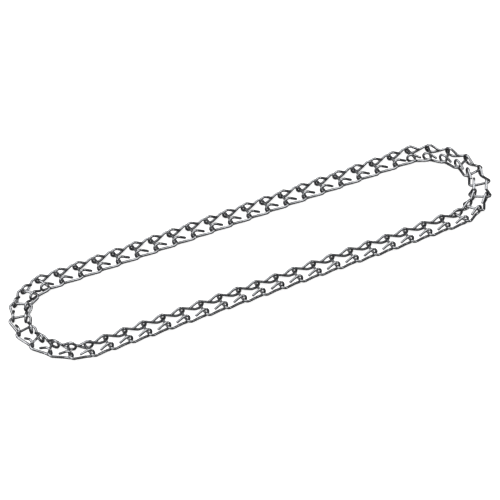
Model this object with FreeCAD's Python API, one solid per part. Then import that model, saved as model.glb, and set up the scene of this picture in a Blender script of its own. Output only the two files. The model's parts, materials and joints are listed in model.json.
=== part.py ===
import FreeCAD, Part
import math
import os

# Endless ladder chain of bent round-wire links, lying flat.  Millimetres, +Z up.
# X runs along the two straight runs, Y across them.  The bottom of every link is at z = 0.

# --- one link -------------------------------------------------------------------------
PITCH = 36.0              # rung centre to rung centre on a straight run
WIRE_D = 4.6              # wire diameter
RUNG_HALF = 21.0          # mid-plane to leg centre where the rung turns into the leg
EYE_HALF = 10.8           # mid-plane to the plane of each eye
RUNG_RISE = 6.6           # rung centre above the centre of the flat part of the legs
CORNER_R = 6.4            # centre-line bend radius, rung to leg
KNEE_X = 27.7             # where the leg reaches its lowest level
KNEE_R = 13.0             # centre-line bend radius at that place
EYE_R = 7.5               # centre-line radius of the rounded end of the eye
EYE_END = 5.4             # next rung's centre to the centre line of the eye's far end
TIP_X = 17.8              # where the free end of the wire stops
TIP_RISE = 6.4            # free end's centre above the centre of the flat part of the legs
TIP_CHAMFER = 0.35        # dressed edge of the cut ends

# --- the loop -------------------------------------------------------------------------
PANELS = 18               # positions where a front link and a back link stand side by side
ARC_LINKS = 8             # turned links in each rounded end
TURN_DEG = 180.0 / (ARC_LINKS + 1)

WIRE_R = WIRE_D / 2.0
FLOOR_Z = WIRE_R
RUNG_Z = FLOOR_Z + RUNG_RISE
EYE_X = PITCH + EYE_END - EYE_R
EYE_Z = FLOOR_Z + EYE_R
TIP_Z = FLOOR_Z + TIP_RISE

# In a rounded end each rung crosses the outer eye of the link before it at the full pitch
# and sits nearer the point of the inner eye, so the outer eyes fix the radius.
ARC_X = (PANELS + 1) * PITCH / 2.0
TURN = math.radians(TURN_DEG)
OUTER_EYE_R = PITCH * (math.cos(TURN) + (1.0 - math.cos(TURN)) / 2.0) / math.sin(TURN)
RUN_Y = OUTER_EYE_R - EYE_HALF


def unit(v):
    return v * (1.0 / v.Length)


def bend(before, corner, after, radius):
    """Arc of the given radius that rounds a corner: its first, middle and last point."""
    to_before = unit(before - corner)
    to_after = unit(after - corner)
    half = to_before.getAngle(to_after) / 2.0
    setback = radius / math.tan(half)
    first = corner + to_before * setback
    last = corner + to_after * setback
    inward = unit(to_before + to_after)
    middle = corner + inward * (radius / math.sin(half) - radius)
    return first, middle, last


def on_eye(side, angle):
    """Point on the eye's rounded end, angle from +X towards +Z."""
    x = EYE_X + EYE_R * math.cos(angle)
    z = EYE_Z + EYE_R * math.sin(angle)
    return FreeCAD.Vector(x, side * EYE_HALF, z)


def half_path(side):
    """Centre-line edges from the end of the straight rung to the free end, and that start."""
    rung_mid = FreeCAD.Vector(0, 0, RUNG_Z)
    corner = FreeCAD.Vector(0, side * RUNG_HALF, RUNG_Z)
    knee = FreeCAD.Vector(KNEE_X, side * EYE_HALF, FLOOR_Z)
    eye_foot = on_eye(side, -math.pi / 2.0)
    tip = FreeCAD.Vector(TIP_X, side * EYE_HALF, TIP_Z)
    back = EYE_X - TIP_X
    drop = EYE_Z - TIP_Z
    slope = math.asin(EYE_R / math.hypot(back, drop)) + math.atan2(drop, back)
    top = slope + math.pi / 2.0
    corner_first, corner_mid, corner_last = bend(rung_mid, corner, knee, CORNER_R)
    knee_first, knee_mid, knee_last = bend(corner, knee, eye_foot, KNEE_R)
    eye_mid = on_eye(side, (top - math.pi / 2.0) / 2.0)
    eye_top = on_eye(side, top)
    edges = [
        Part.Arc(corner_first, corner_mid, corner_last).toShape(),
        Part.LineSegment(corner_last, knee_first).toShape(),
        Part.Arc(knee_first, knee_mid, knee_last).toShape(),
        Part.LineSegment(knee_last, eye_foot).toShape(),
        Part.Arc(eye_foot, eye_mid, eye_top).toShape(),
        Part.LineSegment(eye_top, tip).toShape(),
    ]
    return corner_first, edges, tip, unit(tip - eye_top)


def make_link():
    """One link: rung at x = 0, eyes towards +X, mid-plane y = 0."""
    right_start, right, right_tip, right_dir = half_path(-1)
    left_start, left, left_tip, left_dir = half_path(1)
    rung = Part.LineSegment(right_start, left_start).toShape()
    path = Part.Wire(Part.__sortEdges__(list(reversed(right)) + [rung] + left))
    section = Part.Wire([Part.makeCircle(WIRE_R, right_tip, right_dir)])
    rod = path.makePipeShell([section], True, False)
    ends = []
    for edge in rod.Edges:
        middle = edge.BoundBox.Center
        if (middle - right_tip).Length < 0.01 or (middle - left_tip).Length < 0.01:
            ends.append(edge)
    return rod.makeChamfer(TIP_CHAMFER, ends)


def placed(link, x, y, heading):
    """A copy of the link with its rung's middle at (x, y), eyes pointing along heading."""
    spin = FreeCAD.Rotation(FreeCAD.Vector(0, 0, 1), heading)
    copy = link.copy()
    copy.Placement = FreeCAD.Placement(FreeCAD.Vector(x, y, 0), spin)
    return copy


def arc_place(end, step):
    """Rung position and heading of a link in the right (+1) or left (-1) rounded end."""
    turn = math.radians(step * TURN_DEG)
    lead = -PITCH / 2.0
    x = ARC_X + lead * math.cos(turn) + RUN_Y * math.sin(turn)
    y = lead * math.sin(turn) - RUN_Y * math.cos(turn)
    heading = step * TURN_DEG if end > 0 else 180.0 + step * TURN_DEG
    return end * x, end * y, heading


def links():
    """Every link of the loop: node name, rung x, rung y, heading in degrees."""
    places = []
    left_x = -PANELS * PITCH / 2.0
    for i in range(PANELS):
        x = left_x + i * PITCH
        places.append(("front_link_%02d" % (i + 1), x, -RUN_Y, 0.0))
        places.append(("back_link_%02d" % (i + 1), x + PITCH, RUN_Y, 180.0))
    for end, name in ((1, "right"), (-1, "left")):
        for step in range(ARC_LINKS + 2):
            x, y, heading = arc_place(end, step)
            places.append(("%s_end_link_%02d" % (name, step + 1), x, y, heading))
    return places


os.makedirs("parts", exist_ok=True)
one_link = make_link()
for node, link_x, link_y, link_heading in links():
    placed(one_link, link_x, link_y, link_heading).exportStep("parts/%s.step" % node)
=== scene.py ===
import json
import math
import random

import bpy
from mathutils import Matrix, Quaternion, Vector

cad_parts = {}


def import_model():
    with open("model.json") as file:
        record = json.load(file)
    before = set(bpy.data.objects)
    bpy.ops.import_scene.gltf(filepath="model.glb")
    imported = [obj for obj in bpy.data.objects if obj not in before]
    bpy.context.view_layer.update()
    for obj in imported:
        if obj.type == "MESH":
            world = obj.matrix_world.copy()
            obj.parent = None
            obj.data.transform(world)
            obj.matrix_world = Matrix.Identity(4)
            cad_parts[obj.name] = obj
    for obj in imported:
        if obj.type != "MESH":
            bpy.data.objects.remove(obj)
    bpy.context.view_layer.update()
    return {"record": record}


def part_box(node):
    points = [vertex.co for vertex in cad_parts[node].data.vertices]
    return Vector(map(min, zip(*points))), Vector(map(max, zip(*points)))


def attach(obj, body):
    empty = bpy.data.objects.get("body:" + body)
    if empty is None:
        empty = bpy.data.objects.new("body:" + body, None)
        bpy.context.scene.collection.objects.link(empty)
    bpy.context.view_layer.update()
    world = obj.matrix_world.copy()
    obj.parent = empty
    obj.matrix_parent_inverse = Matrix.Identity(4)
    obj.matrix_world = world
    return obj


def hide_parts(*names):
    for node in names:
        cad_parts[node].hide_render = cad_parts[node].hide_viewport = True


# Looks for the endless ladder chain: 56 links of bent, bright-plated steel wire on a pale
# floor.  Metres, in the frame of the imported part.  Every piece is named for the link it shows.

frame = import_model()
RECORD = frame["record"]
MM = 0.001

# --- the bent wire, as the part has it ------------------------------------------------
WIRE_R = 2.3 * MM
PITCH = 36.0 * MM
RUNG_HALF = 21.0 * MM
EYE_HALF = 10.8 * MM
RUNG_RISE = 6.6 * MM
CORNER_R = 6.4 * MM
KNEE_X = 27.7 * MM
KNEE_R = 13.0 * MM
EYE_R = 7.5 * MM
EYE_END = 5.4 * MM
TIP_X = 17.8 * MM
TIP_RISE = 6.4 * MM
ARC_STEPS = 9             # turns of one rounded end, 180 degrees in all

RUNG_Z = WIRE_R + RUNG_RISE
EYE_X = PITCH + EYE_END - EYE_R
EYE_Z = WIRE_R + EYE_R
TIP_Z = WIRE_R + TIP_RISE

# --- how finely it is made ------------------------------------------------------------
SIDES = 24                # points round the wire
STEP = 1.5 * MM           # between rings on a straight stretch
ARC_STEP = math.radians(8)    # between rings in a bend
OVAL = 0.045              # how much a bend of one wire radius flattens the wire
DIE_MARK = 0.05           # depth of the former's mark outside each corner, in wire radii
SHEAR_LENGTH = 1.6 * MM   # stretch pinched by the cutter at each free end
SHEAR = 0.16              # how much the cut pinches the wire
BEVEL = 0.3 * MM          # worn edge of a cut end
BEVEL_HEIGHT = 0.6        # its height against its width
CUT_TILT = 0.18           # slope of the cut face across the chain
CUT_DISH = 0.35           # height of the cut face's middle, in bevels
RIM_SIZE = 0.85           # size of the cut face in the pattern's own coordinates
TIP_PLAY = 0.25 * MM      # how far a free end may lie from its drawn place

# --- how far wear and the painted shade with dull film reach from their middles -------
RUNG_RUB = 3.6 * MM
EYE_RUB = 3.4 * MM
FLOOR_RUB = 0.35 * MM
# reaches of the painted shade, with dull film, round the rung, the eye and the free end
RUNG_SHADE_AND_FILM = 8.0 * MM
EYE_SHADE_AND_FILM = 8.5 * MM
TIP_SHADE_AND_FILM = 5.0 * MM


# --- centre line ----------------------------------------------------------------------
def straight(first, last):
    """Points of a straight stretch, without its last one, each with no bend."""
    count = max(2, round((last - first).length / STEP))
    still = Vector((0.0, 0.0, 0.0))
    return [(first.lerp(last, i / count), still) for i in range(count)]


def arc(centre, first, axis, turn):
    """Points of an arc, without its last one, each with a pointer to the inside of the bend."""
    count = max(3, round(turn / ARC_STEP))
    spoke = first - centre
    points = []
    for i in range(count):
        arm = Quaternion(axis, turn * i / count) @ spoke
        points.append((centre + arm, -arm / arm.length_squared))
    return points


def rounded_corner(before, corner, after, radius):
    """First point, last point and the arc between them where a path turns a corner."""
    to_before = (before - corner).normalized()
    to_after = (after - corner).normalized()
    half = to_before.angle(to_after) / 2.0
    setback = radius / math.tan(half)
    first = corner + to_before * setback
    last = corner + to_after * setback
    centre = corner + (to_before + to_after).normalized() * (radius / math.sin(half))
    axis = (-to_before).cross(to_after).normalized()
    return first, last, arc(centre, first, axis, math.pi - 2.0 * half)


def half_line(side, tip_shift):
    """Centre line from the middle of the rung to one free end."""
    rung_mid = Vector((0.0, 0.0, RUNG_Z))
    corner = Vector((0.0, side * RUNG_HALF, RUNG_Z))
    knee = Vector((KNEE_X, side * EYE_HALF, WIRE_R))
    eye_foot = Vector((EYE_X, side * EYE_HALF, WIRE_R))
    eye_centre = Vector((EYE_X, side * EYE_HALF, EYE_Z))
    tip = Vector((TIP_X, side * EYE_HALF, TIP_Z))
    back = EYE_X - TIP_X
    drop = EYE_Z - TIP_Z
    slope = math.asin(EYE_R / math.hypot(back, drop)) + math.atan2(drop, back)
    turn = math.pi + slope
    eye = arc(eye_centre, eye_foot, Vector((0.0, -1.0, 0.0)), turn)
    eye_top = eye_centre + EYE_R * Vector((-math.sin(slope), 0.0, math.cos(slope)))
    corner_first, corner_last, corner_arc = rounded_corner(rung_mid, corner, knee, CORNER_R)
    knee_first, knee_last, knee_arc = rounded_corner(corner, knee, eye_foot, KNEE_R)
    points = straight(rung_mid, corner_first) + corner_arc
    points += straight(corner_last, knee_first) + knee_arc
    points += straight(knee_last, eye_foot) + eye
    points += straight(eye_top, tip + tip_shift)
    points.append((tip + tip_shift, Vector((0.0, 0.0, 0.0))))
    return points


def centre_line(shifts):
    """The whole link's centre line, from one free end to the other."""
    right = half_line(-1.0, shifts[0])
    left = half_line(1.0, shifts[1])
    return list(reversed(right)) + left[1:]


# --- the wire as a mesh ---------------------------------------------------------------
def smooth_step(value):
    value = min(1.0, max(0.0, value))
    return value * value * (3.0 - 2.0 * value)


def near(distance, reach):
    """1 at no distance, falling smoothly to 0 at reach."""
    return 1.0 - smooth_step(distance / reach)


PULL = Vector((PITCH - EYE_X, 0.0, RUNG_Z - EYE_Z)).normalized() * (EYE_R - WIRE_R)
RUNG_SPOTS = [Vector((WIRE_R, s * EYE_HALF, RUNG_Z)) for s in (-1.0, 1.0)]
EYE_SPOTS = [Vector((EYE_X, s * EYE_HALF, EYE_Z)) + PULL for s in (-1.0, 1.0)]
TIP_SPOTS = [Vector((TIP_X, s * (EYE_HALF + WIRE_R), TIP_Z - WIRE_R)) for s in (-1.0, 1.0)]


def rubbed(point):
    """How brightly neighbouring links have polished the wire here."""
    rung = max(near((point - spot).length, RUNG_RUB) for spot in RUNG_SPOTS)
    eye = max(near((point - spot).length, EYE_RUB) for spot in EYE_SPOTS)
    under = near(point.z, FLOOR_RUB)
    return max(rung, eye, 0.6 * under)


def crook_shade_and_film(point):
    """How much painted shade, with dull film, darkens the wire here, in the crooks that nothing rubs.
    """
    rung = max(near((point - spot).length, RUNG_SHADE_AND_FILM) for spot in RUNG_SPOTS)
    eye = max(near((point - spot).length, EYE_SHADE_AND_FILM) for spot in EYE_SPOTS)
    tip = max(near((point - spot).length, TIP_SHADE_AND_FILM) for spot in TIP_SPOTS)
    return max(0.8 * rung, 0.7 * eye, 0.8 * tip)


def wire_mesh(name, shifts):
    """Skin round the centre line, with what the material needs stored on its points."""
    line = centre_line(shifts)
    count = len(line)
    places = [p for p, _ in line]
    tangents = []
    for i in range(count):
        ahead = places[min(i + 1, count - 1)] - places[max(i - 1, 0)]
        tangents.append(ahead.normalized())
    lengths = [0.0]
    for i in range(1, count):
        lengths.append(lengths[-1] + (places[i] - places[i - 1]).length)
    total = lengths[-1]
    side = tangents[0].orthogonal().normalized()
    verts, unbent, bends = [], [], []
    for i in range(count):
        if i:
            side = tangents[i - 1].rotation_difference(tangents[i]) @ side
        side = (side - tangents[i] * side.dot(tangents[i])).normalized()
        other = tangents[i].cross(side)
        inside = line[i][1]
        bend = inside.length * WIRE_R
        pointer = inside.normalized() if bend else side
        to_end = min(lengths[i], total - lengths[i])
        pinch = SHEAR * near(to_end, SHEAR_LENGTH)
        for k in range(SIDES):
            angle = 2.0 * math.pi * k / SIDES
            out = side * math.cos(angle) + other * math.sin(angle)
            facing = out.dot(pointer)
            size = 1.0 + OVAL * bend * (1.0 - 2.0 * facing * facing)
            size -= DIE_MARK * smooth_step(bend * 2.5 - 0.4) * smooth_step(-facing * 2.0 - 0.8)
            size -= pinch * math.cos(angle) ** 2
            verts.append(places[i] + out * WIRE_R * size)
            unbent.append((lengths[i], WIRE_R * math.cos(angle), WIRE_R * math.sin(angle)))
            bends.append(smooth_step(bend * 1.6))
    faces = []
    for i in range(count - 1):
        for k in range(SIDES):
            n = (k + 1) % SIDES
            faces.append((i * SIDES + k, i * SIDES + n, (i + 1) * SIDES + n, (i + 1) * SIDES + k))
    caps = cut_ends(verts, unbent, bends, faces, places, tangents, lengths)
    mesh = bpy.data.meshes.new(name)
    mesh.from_pydata(verts, [], faces)
    mesh.update()
    mesh.shade_smooth()
    store(mesh, unbent, bends, verts)
    for edge in mesh.edges:
        if edge.vertices[0] in caps and edge.vertices[1] in caps:
            edge.use_edge_sharp = True
    return mesh


def cut_ends(verts, unbent, bends, faces, places, tangents, lengths):
    """Closes both free ends with a worn edge and a slightly dished, tilted cut face."""
    rims = set()
    last = len(places) - 1
    for end, outward in ((0, -tangents[0]), (last, tangents[last])):
        ring = [end * SIDES + k for k in range(SIDES)]
        reach = lengths[end] + (BEVEL if end else -BEVEL)
        rim = []
        for k in ring:
            spoke = verts[k] - places[end]
            tilt = CUT_TILT * spoke.y
            rim.append(len(verts))
            rise = outward * (BEVEL * BEVEL_HEIGHT + tilt)
            verts.append(places[end] + spoke * (1.0 - BEVEL / WIRE_R) + rise)
            unbent.append((reach, unbent[k][1] * RIM_SIZE, unbent[k][2] * RIM_SIZE))
            bends.append(0.0)
        hub = len(verts)
        verts.append(places[end] + outward * BEVEL * CUT_DISH)
        unbent.append((reach, 0.0, 0.0))
        bends.append(0.0)
        rims.update(rim)
        for k in range(SIDES):
            n = (k + 1) % SIDES
            quad = (ring[n], ring[k], rim[k], rim[n])
            fan = (rim[n], rim[k], hub)
            if end:
                quad = tuple(reversed(quad))
                fan = tuple(reversed(fan))
            faces.append(quad)
            faces.append(fan)
    return rims


def store(mesh, unbent, bends, verts):
    """Attributes that the material reads, one value for each point."""
    place = mesh.attributes.new("unbent", "FLOAT_VECTOR", "POINT")
    for item, value in zip(place.data, unbent):
        item.vector = value
    for name, values in (
        ("bend", bends),
        ("rub", [rubbed(v) for v in verts]),
        # painted shade with dull film in the crooks between links
        ("shade_and_film", [crook_shade_and_film(v) for v in verts]),
    ):
        layer = mesh.attributes.new(name, "FLOAT", "POINT")
        layer.data.foreach_set("value", values)


# --- material -------------------------------------------------------------------------
class Nodes:
    """Short calls for building a node tree."""

    def __init__(self, name):
        self.material = bpy.data.materials.new(name)
        self.material.use_nodes = True
        self.tree = self.material.node_tree
        self.shader = self.tree.nodes["Principled BSDF"]

    def link(self, source, node, socket):
        self.tree.links.new(source, node.inputs[socket])

    def attribute(self, name, output="Fac"):
        node = self.tree.nodes.new("ShaderNodeAttribute")
        node.attribute_name = name
        return node.outputs[output]

    def scaled(self, vector, scale):
        node = self.tree.nodes.new("ShaderNodeVectorMath")
        node.operation = "MULTIPLY"
        node.inputs[1].default_value = scale
        self.link(vector, node, 0)
        return node.outputs[0]

    def shifted(self, vector, amount):
        node = self.tree.nodes.new("ShaderNodeVectorMath")
        node.operation = "ADD"
        self.link(vector, node, 0)
        self.link(amount, node, 1)
        return node.outputs[0]

    def noise(self, vector, scale, detail=3.0, roughness=0.5):
        node = self.tree.nodes.new("ShaderNodeTexNoise")
        node.inputs["Scale"].default_value = scale
        node.inputs["Detail"].default_value = detail
        node.inputs["Roughness"].default_value = roughness
        self.link(vector, node, "Vector")
        return node.outputs["Fac"]

    def math(self, operation, first, second, third=None, clamp=False):
        node = self.tree.nodes.new("ShaderNodeMath")
        node.operation = operation
        node.use_clamp = clamp
        for i, value in enumerate((first, second, third)):
            if value is None:
                continue
            if isinstance(value, (int, float)):
                node.inputs[i].default_value = value
            else:
                self.link(value, node, i)
        return node.outputs[0]

    def span(self, value, low, high, new_low, new_high):
        node = self.tree.nodes.new("ShaderNodeMapRange")
        node.interpolation_type = "SMOOTHSTEP"
        for i, number in enumerate((low, high, new_low, new_high)):
            node.inputs[i + 1].default_value = number
        self.link(value, node, 0)
        return node.outputs[0]

    def mix(self, factor, first, second):
        node = self.tree.nodes.new("ShaderNodeMix")
        node.data_type = "RGBA"
        self.link(factor, node, 0)
        for socket, value in ((6, first), (7, second)):
            if isinstance(value, tuple):
                node.inputs[socket].default_value = (*value, 1.0)
            else:
                self.link(value, node, socket)
        return node.outputs[2]

    def bump(self, height, strength, distance, below=None):
        node = self.tree.nodes.new("ShaderNodeBump")
        node.inputs["Strength"].default_value = strength
        node.inputs["Distance"].default_value = distance
        self.link(height, node, "Height")
        if below is not None:
            self.link(below, node, "Normal")
        return node.outputs["Normal"]


def plated_wire():
    """Drawn steel wire with bright zinc plating: drawing lines, mottled zinc, rubbed bare spots,
    painted shade with dull film in the crooks, and fine crazing where the plating was bent."""
    n = Nodes("plated_wire")
    info = n.tree.nodes.new("ShaderNodeObjectInfo")
    place = n.shifted(n.attribute("unbent", "Vector"), info.outputs["Random"])
    bend = n.attribute("bend")
    rub = n.attribute("rub")
    # painted shade with dull film in the crooks, read from the mesh
    shade_and_film = n.attribute("shade_and_film")
    drawn = n.noise(n.scaled(place, (25.0, 2600.0, 2600.0)), 1.0, 4.0, 0.6)
    mottle = n.noise(place, 420.0, 4.0, 0.6)
    grain = n.noise(place, 2600.0, 3.0, 0.6)
    scuffs = n.noise(n.scaled(place, (900.0, 300.0, 300.0)), 1.0, 5.0, 0.7)
    craze = n.noise(n.scaled(place, (5200.0, 500.0, 500.0)), 1.0, 3.0, 0.7)

    zinc = n.mix(n.span(mottle, 0.35, 0.65, 0.0, 1.0), (0.40, 0.41, 0.43), (0.62, 0.63, 0.65))
    zinc = n.mix(n.span(drawn, 0.50, 0.72, 0.0, 0.35), zinc, (0.26, 0.27, 0.29))
    # painted shade: the crooks between links are darkened in colour as well as dulled
    dull_and_shade = n.math("MULTIPLY", shade_and_film, n.span(scuffs, 0.30, 0.62, 0.35, 1.0))
    # painted shade: near-black mixed into the zinc in the crooks, where shade falls between links
    zinc = n.mix(n.math("MULTIPLY", dull_and_shade, 0.75), zinc, (0.11, 0.11, 0.115))
    crack = n.math("MULTIPLY", bend, n.span(craze, 0.52, 0.70, 0.0, 1.0))
    zinc = n.mix(n.math("MULTIPLY", crack, 0.5), zinc, (0.20, 0.20, 0.21))
    bare = n.math("MULTIPLY", rub, n.span(scuffs, 0.25, 0.55, 0.3, 1.0))
    zinc = n.mix(bare, zinc, (0.70, 0.70, 0.69))
    n.link(zinc, n.shader, "Base Color")

    rough = n.span(mottle, 0.3, 0.7, 0.13, 0.24)
    rough = n.math("ADD", rough, n.span(drawn, 0.4, 0.7, 0.0, 0.06))
    rough = n.math("MULTIPLY_ADD", dull_and_shade, 0.22, rough)
    rough = n.math("MULTIPLY_ADD", bare, -0.14, rough, clamp=True)
    n.link(rough, n.shader, "Roughness")

    normal = n.bump(drawn, 0.25, 0.03 * MM)
    normal = n.bump(grain, 0.15, 0.02 * MM, normal)
    normal = n.bump(scuffs, 0.20, 0.05 * MM, normal)
    normal = n.bump(crack, 0.35, 0.03 * MM, normal)
    n.link(normal, n.shader, "Normal")
    n.shader.inputs["Metallic"].default_value = 1.0
    n.shader.inputs["Specular Tint"].default_value = (0.45, 0.46, 0.48, 1.0)
    return n.material


# --- where each link lies -------------------------------------------------------------
def joint(name):
    return next(j for j in RECORD["behaviour"]["joints"] if j["name"] == name)


FIRST_FOLD_X = joint("fold_01")["pos_m"][0]
PANELS = round(-2.0 * FIRST_FOLD_X / PITCH)
ARC_X = PITCH - FIRST_FOLD_X - PITCH / 2.0
RUN_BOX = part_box("front_link_01")
RUN_Y = -(RUN_BOX[0][1] + RUN_BOX[1][1]) / 2.0


def link_places():
    """Node name, rung position and heading of every link."""
    places = []
    for i in range(PANELS):
        x = FIRST_FOLD_X + i * PITCH
        places.append(("front_link_%02d" % (i + 1), x, -RUN_Y, 0.0))
        places.append(("back_link_%02d" % (i + 1), x + PITCH, RUN_Y, math.pi))
    for end, name in ((1, "right"), (-1, "left")):
        for step in range(ARC_STEPS + 1):
            turn = math.pi * step / ARC_STEPS
            x = ARC_X - PITCH / 2.0 * math.cos(turn) + RUN_Y * math.sin(turn)
            y = -PITCH / 2.0 * math.sin(turn) - RUN_Y * math.cos(turn)
            heading = turn if end > 0 else turn + math.pi
            places.append(("%s_end_link_%02d" % (name, step + 1), end * x, end * y, heading))
    return places


def body_holding(node):
    for body, nodes in RECORD["behaviour"]["bodies"].items():
        if node in nodes:
            return body


def build_links(material):
    draw = random.Random(5)
    for node, x, y, heading in link_places():
        shifts = []
        for _ in range(2):
            shifts.append(Vector((draw.uniform(-1, 1), draw.uniform(-1, 1), draw.uniform(-0.2, 1))))
        mesh = wire_mesh(node + "_wire", [s * TIP_PLAY for s in shifts])
        mesh.materials.append(material)
        mesh.transform(Matrix.Translation((x, y, 0.0)) @ Matrix.Rotation(heading, 4, "Z"))
        piece = bpy.data.objects.new(node + "_wire", mesh)
        bpy.context.scene.collection.objects.link(piece)
        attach(piece, body_holding(node))
        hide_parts(node)


# --- floor, light and camera ----------------------------------------------------------
FLOOR_HALF = 30.0
FLOOR_GLOW = 0.75                 # lifts the floor to white, so that shadows stay faint
VIEW_TURN = math.radians(-27.2)   # the camera's right-hand direction, from +X
VIEW_DROP = math.radians(42.8)    # how far the camera looks down
VIEW_ROLL = math.radians(0.2)     # how far it leans clockwise
VIEW_DISTANCE = 8.60
SENSOR = 36.0                     # lens and sensor in millimetres
LENS = 360.0
AIM_RIGHT = -5.4 * MM             # aim point from the origin, along the view's right and up
AIM_UP = 5.9 * MM
KEY_FROM = (-0.22, 0.04, 0.975)   # unit vector towards the middle of the key light
# Brightness of the surroundings against the cosine of the angle from that direction
SKY = [(0.0, 0.03), (1.0, 1.0), (0.45, 0.08), (0.80, 0.13), (0.90, 0.9)]
SKY_STRENGTH = 2.0
BACKDROP = 0.95                   # grey of the surroundings as the camera sees them


def floor():
    mesh = bpy.data.meshes.new("floor")
    corners = [(-FLOOR_HALF, -FLOOR_HALF, 0), (FLOOR_HALF, -FLOOR_HALF, 0),
               (FLOOR_HALF, FLOOR_HALF, 0), (-FLOOR_HALF, FLOOR_HALF, 0)]
    mesh.from_pydata(corners, [], [(0, 1, 2, 3)])
    n = Nodes("floor")
    n.shader.inputs["Base Color"].default_value = (0.9, 0.9, 0.9, 1.0)
    n.shader.inputs["Roughness"].default_value = 0.9
    n.shader.inputs["Specular IOR Level"].default_value = 0.1
    n.shader.inputs["Emission Color"].default_value = (1.0, 1.0, 1.0, 1.0)
    n.shader.inputs["Emission Strength"].default_value = FLOOR_GLOW
    mesh.materials.append(n.material)
    obj = bpy.data.objects.new("floor", mesh)
    obj.visible_glossy = False
    bpy.context.scene.collection.objects.link(obj)


def world():
    """One broad soft key light over dark surroundings, so that bright wire keeps dark edges."""
    scene_world = bpy.data.worlds.new("studio")
    bpy.context.scene.world = scene_world
    scene_world.use_nodes = True
    tree = scene_world.node_tree
    tree.nodes.clear()
    coords = tree.nodes.new("ShaderNodeTexCoord")
    towards = tree.nodes.new("ShaderNodeVectorMath")
    towards.operation = "DOT_PRODUCT"
    towards.inputs[1].default_value = KEY_FROM
    ramp = tree.nodes.new("ShaderNodeValToRGB")
    studio = tree.nodes.new("ShaderNodeBackground")
    pale = tree.nodes.new("ShaderNodeBackground")
    path = tree.nodes.new("ShaderNodeLightPath")
    mix = tree.nodes.new("ShaderNodeMixShader")
    out = tree.nodes.new("ShaderNodeOutputWorld")
    tree.links.new(coords.outputs["Generated"], towards.inputs[0])
    tree.links.new(towards.outputs["Value"], ramp.inputs[0])
    stops = ramp.color_ramp.elements
    for stop, (position, level) in zip(stops, SKY[:2]):
        stop.position = position
        stop.color = (level, level, level, 1.0)
    for position, level in SKY[2:]:
        stops.new(position).color = (level, level, level, 1.0)
    tree.links.new(ramp.outputs["Color"], studio.inputs["Color"])
    studio.inputs["Strength"].default_value = SKY_STRENGTH
    pale.inputs["Color"].default_value = (BACKDROP, BACKDROP, BACKDROP, 1.0)
    tree.links.new(path.outputs["Is Camera Ray"], mix.inputs[0])
    tree.links.new(studio.outputs[0], mix.inputs[1])
    tree.links.new(pale.outputs[0], mix.inputs[2])
    tree.links.new(mix.outputs[0], out.inputs["Surface"])


def softbox(name, place, size, power):
    lamp = bpy.data.lights.new(name, "AREA")
    lamp.shape = "RECTANGLE"
    lamp.size, lamp.size_y = size
    lamp.energy = power
    obj = bpy.data.objects.new(name, lamp)
    obj.location = place
    obj.rotation_euler = (-Vector(place)).to_track_quat("-Z", "Y").to_euler()
    bpy.context.scene.collection.objects.link(obj)


def camera():
    level_right = Vector((math.cos(VIEW_TURN), math.sin(VIEW_TURN), 0.0))
    level = Vector((-math.sin(VIEW_TURN), math.cos(VIEW_TURN), 0.0))
    forward = level * math.cos(VIEW_DROP) - Vector((0.0, 0.0, math.sin(VIEW_DROP)))
    right = Quaternion(forward, VIEW_ROLL) @ level_right
    up = right.cross(forward)
    lens = bpy.data.cameras.new("camera")
    lens.sensor_width = SENSOR
    lens.lens = LENS
    lens.clip_start = 0.05
    lens.clip_end = 100.0
    obj = bpy.data.objects.new("camera", lens)
    place = right * AIM_RIGHT + up * AIM_UP - forward * VIEW_DISTANCE
    obj.matrix_world = Matrix.Translation(place) @ Matrix((right, up, -forward)).transposed().to_4x4()
    bpy.context.scene.collection.objects.link(obj)
    bpy.context.scene.camera = obj


build_links(plated_wire())
floor()
world()
softbox("front_left", (-2.32, -0.85, 0.80), (0.9, 0.6), 7.0)
softbox("front_right", (1.93, -0.90, 1.49), (0.7, 0.7), 8.0)
softbox("back_left", (-1.93, 0.90, 1.49), (0.7, 0.7), 5.0)
camera()
bpy.context.scene.view_settings.view_transform = "Standard"
